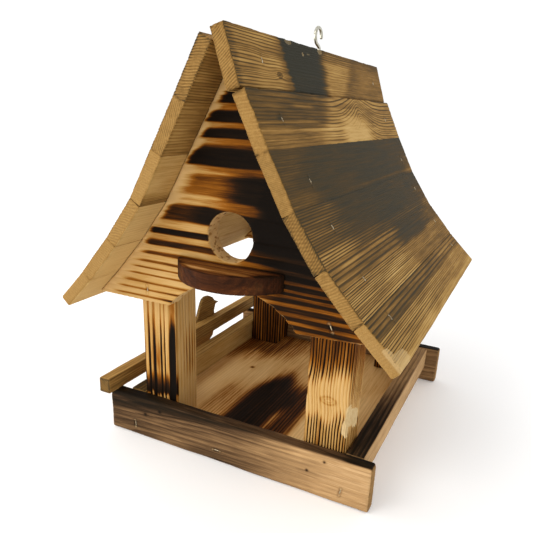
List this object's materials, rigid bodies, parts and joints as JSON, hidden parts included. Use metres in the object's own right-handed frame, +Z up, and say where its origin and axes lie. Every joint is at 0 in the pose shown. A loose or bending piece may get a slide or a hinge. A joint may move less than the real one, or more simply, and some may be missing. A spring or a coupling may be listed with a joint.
{
  "type": "hanging bird feeder",
  "caption": "House-shaped open wooden bird feeder with a flared plank roof, arched gables, a half-round perch, a low rimmed floor, a cut-out bird and a screw hook.",
  "frame": {"origin": "the middle of the roof's plan, on the level of the undersides of the two end rims that it stands on", "axes": "+Z up along the height, -Y towards the perch and the round hole at the front, -X towards the rail with the cut-out bird"},
  "size_m": [0.2808, 0.318, 0.3525],
  "materials": {
    "bare_pine": "sawn softwood, only warmed by the torch",
    "singed_pine": "torch-singed softwood with dark bands between pale raised grain",
    "dark_scorched_pine": "softwood scorched nearly black",
    "staple_wire": "dulled galvanised wire",
    "zinc_hook": "zinc plated wire"
  },
  "bodies": {
    "house": {"back_gable": "singed_pine", "back_gable_staple_left": "staple_wire", "back_gable_staple_right": "staple_wire", "back_left_post": "singed_pine", "back_right_post": "singed_pine", "back_rim": "singed_pine", "bird_cutout": "bare_pine", "floor_board": "bare_pine", "front_gable": "singed_pine", "front_gable_staple_left": "staple_wire", "front_gable_staple_right": "staple_wire", "front_left_post": "singed_pine", "front_right_post": "singed_pine", "front_rim": "singed_pine", "front_rim_staple_left": "staple_wire", "front_rim_staple_middle": "staple_wire", "front_rim_staple_right": "staple_wire", "left_side_batten": "bare_pine", "left_top_rail": "bare_pine", "perch_shelf": "dark_scorched_pine", "right_side_batten": "singed_pine", "roof_plank_left_1": "singed_pine", "roof_plank_left_2": "singed_pine", "roof_plank_left_3": "dark_scorched_pine", "roof_plank_left_4": "dark_scorched_pine", "roof_plank_left_5": "singed_pine", "roof_plank_left_6": "singed_pine", "roof_plank_right_1": "singed_pine", "roof_plank_right_2": "singed_pine", "roof_plank_right_3": "dark_scorched_pine", "roof_plank_right_4": "dark_scorched_pine", "roof_plank_right_5": "singed_pine", "roof_plank_right_6": "singed_pine", "roof_staple_left_1_back": "staple_wire", "roof_staple_left_1_front": "staple_wire", "roof_staple_left_2_back": "staple_wire", "roof_staple_left_2_front": "staple_wire", "roof_staple_left_3_back": "staple_wire", "roof_staple_left_3_front": "staple_wire", "roof_staple_left_4_back": "staple_wire", "roof_staple_left_4_front": "staple_wire", "roof_staple_left_5_back": "staple_wire", "roof_staple_left_5_front": "staple_wire", "roof_staple_left_6_back": "staple_wire", "roof_staple_left_6_front": "staple_wire", "roof_staple_right_1_back": "staple_wire", "roof_staple_right_1_front": "staple_wire", "roof_staple_right_2_back": "staple_wire", "roof_staple_right_2_front": "staple_wire", "roof_staple_right_3_back": "staple_wire", "roof_staple_right_3_front": "staple_wire", "roof_staple_right_4_back": "staple_wire", "roof_staple_right_4_front": "staple_wire", "roof_staple_right_5_back": "staple_wire", "roof_staple_right_5_front": "staple_wire", "roof_staple_right_6_back": "staple_wire", "roof_staple_right_6_front": "staple_wire"},
    "hook": {"screw_hook": "zinc_hook"}
  },
  "joints": [
    {"name": "hook_turn", "type": "hinge", "parent": "house", "child": "hook", "pos_m": [0.009, -0.003, 0.3335], "axis": [0, 0, 1], "range_deg": [-90, 90]}
  ]
}
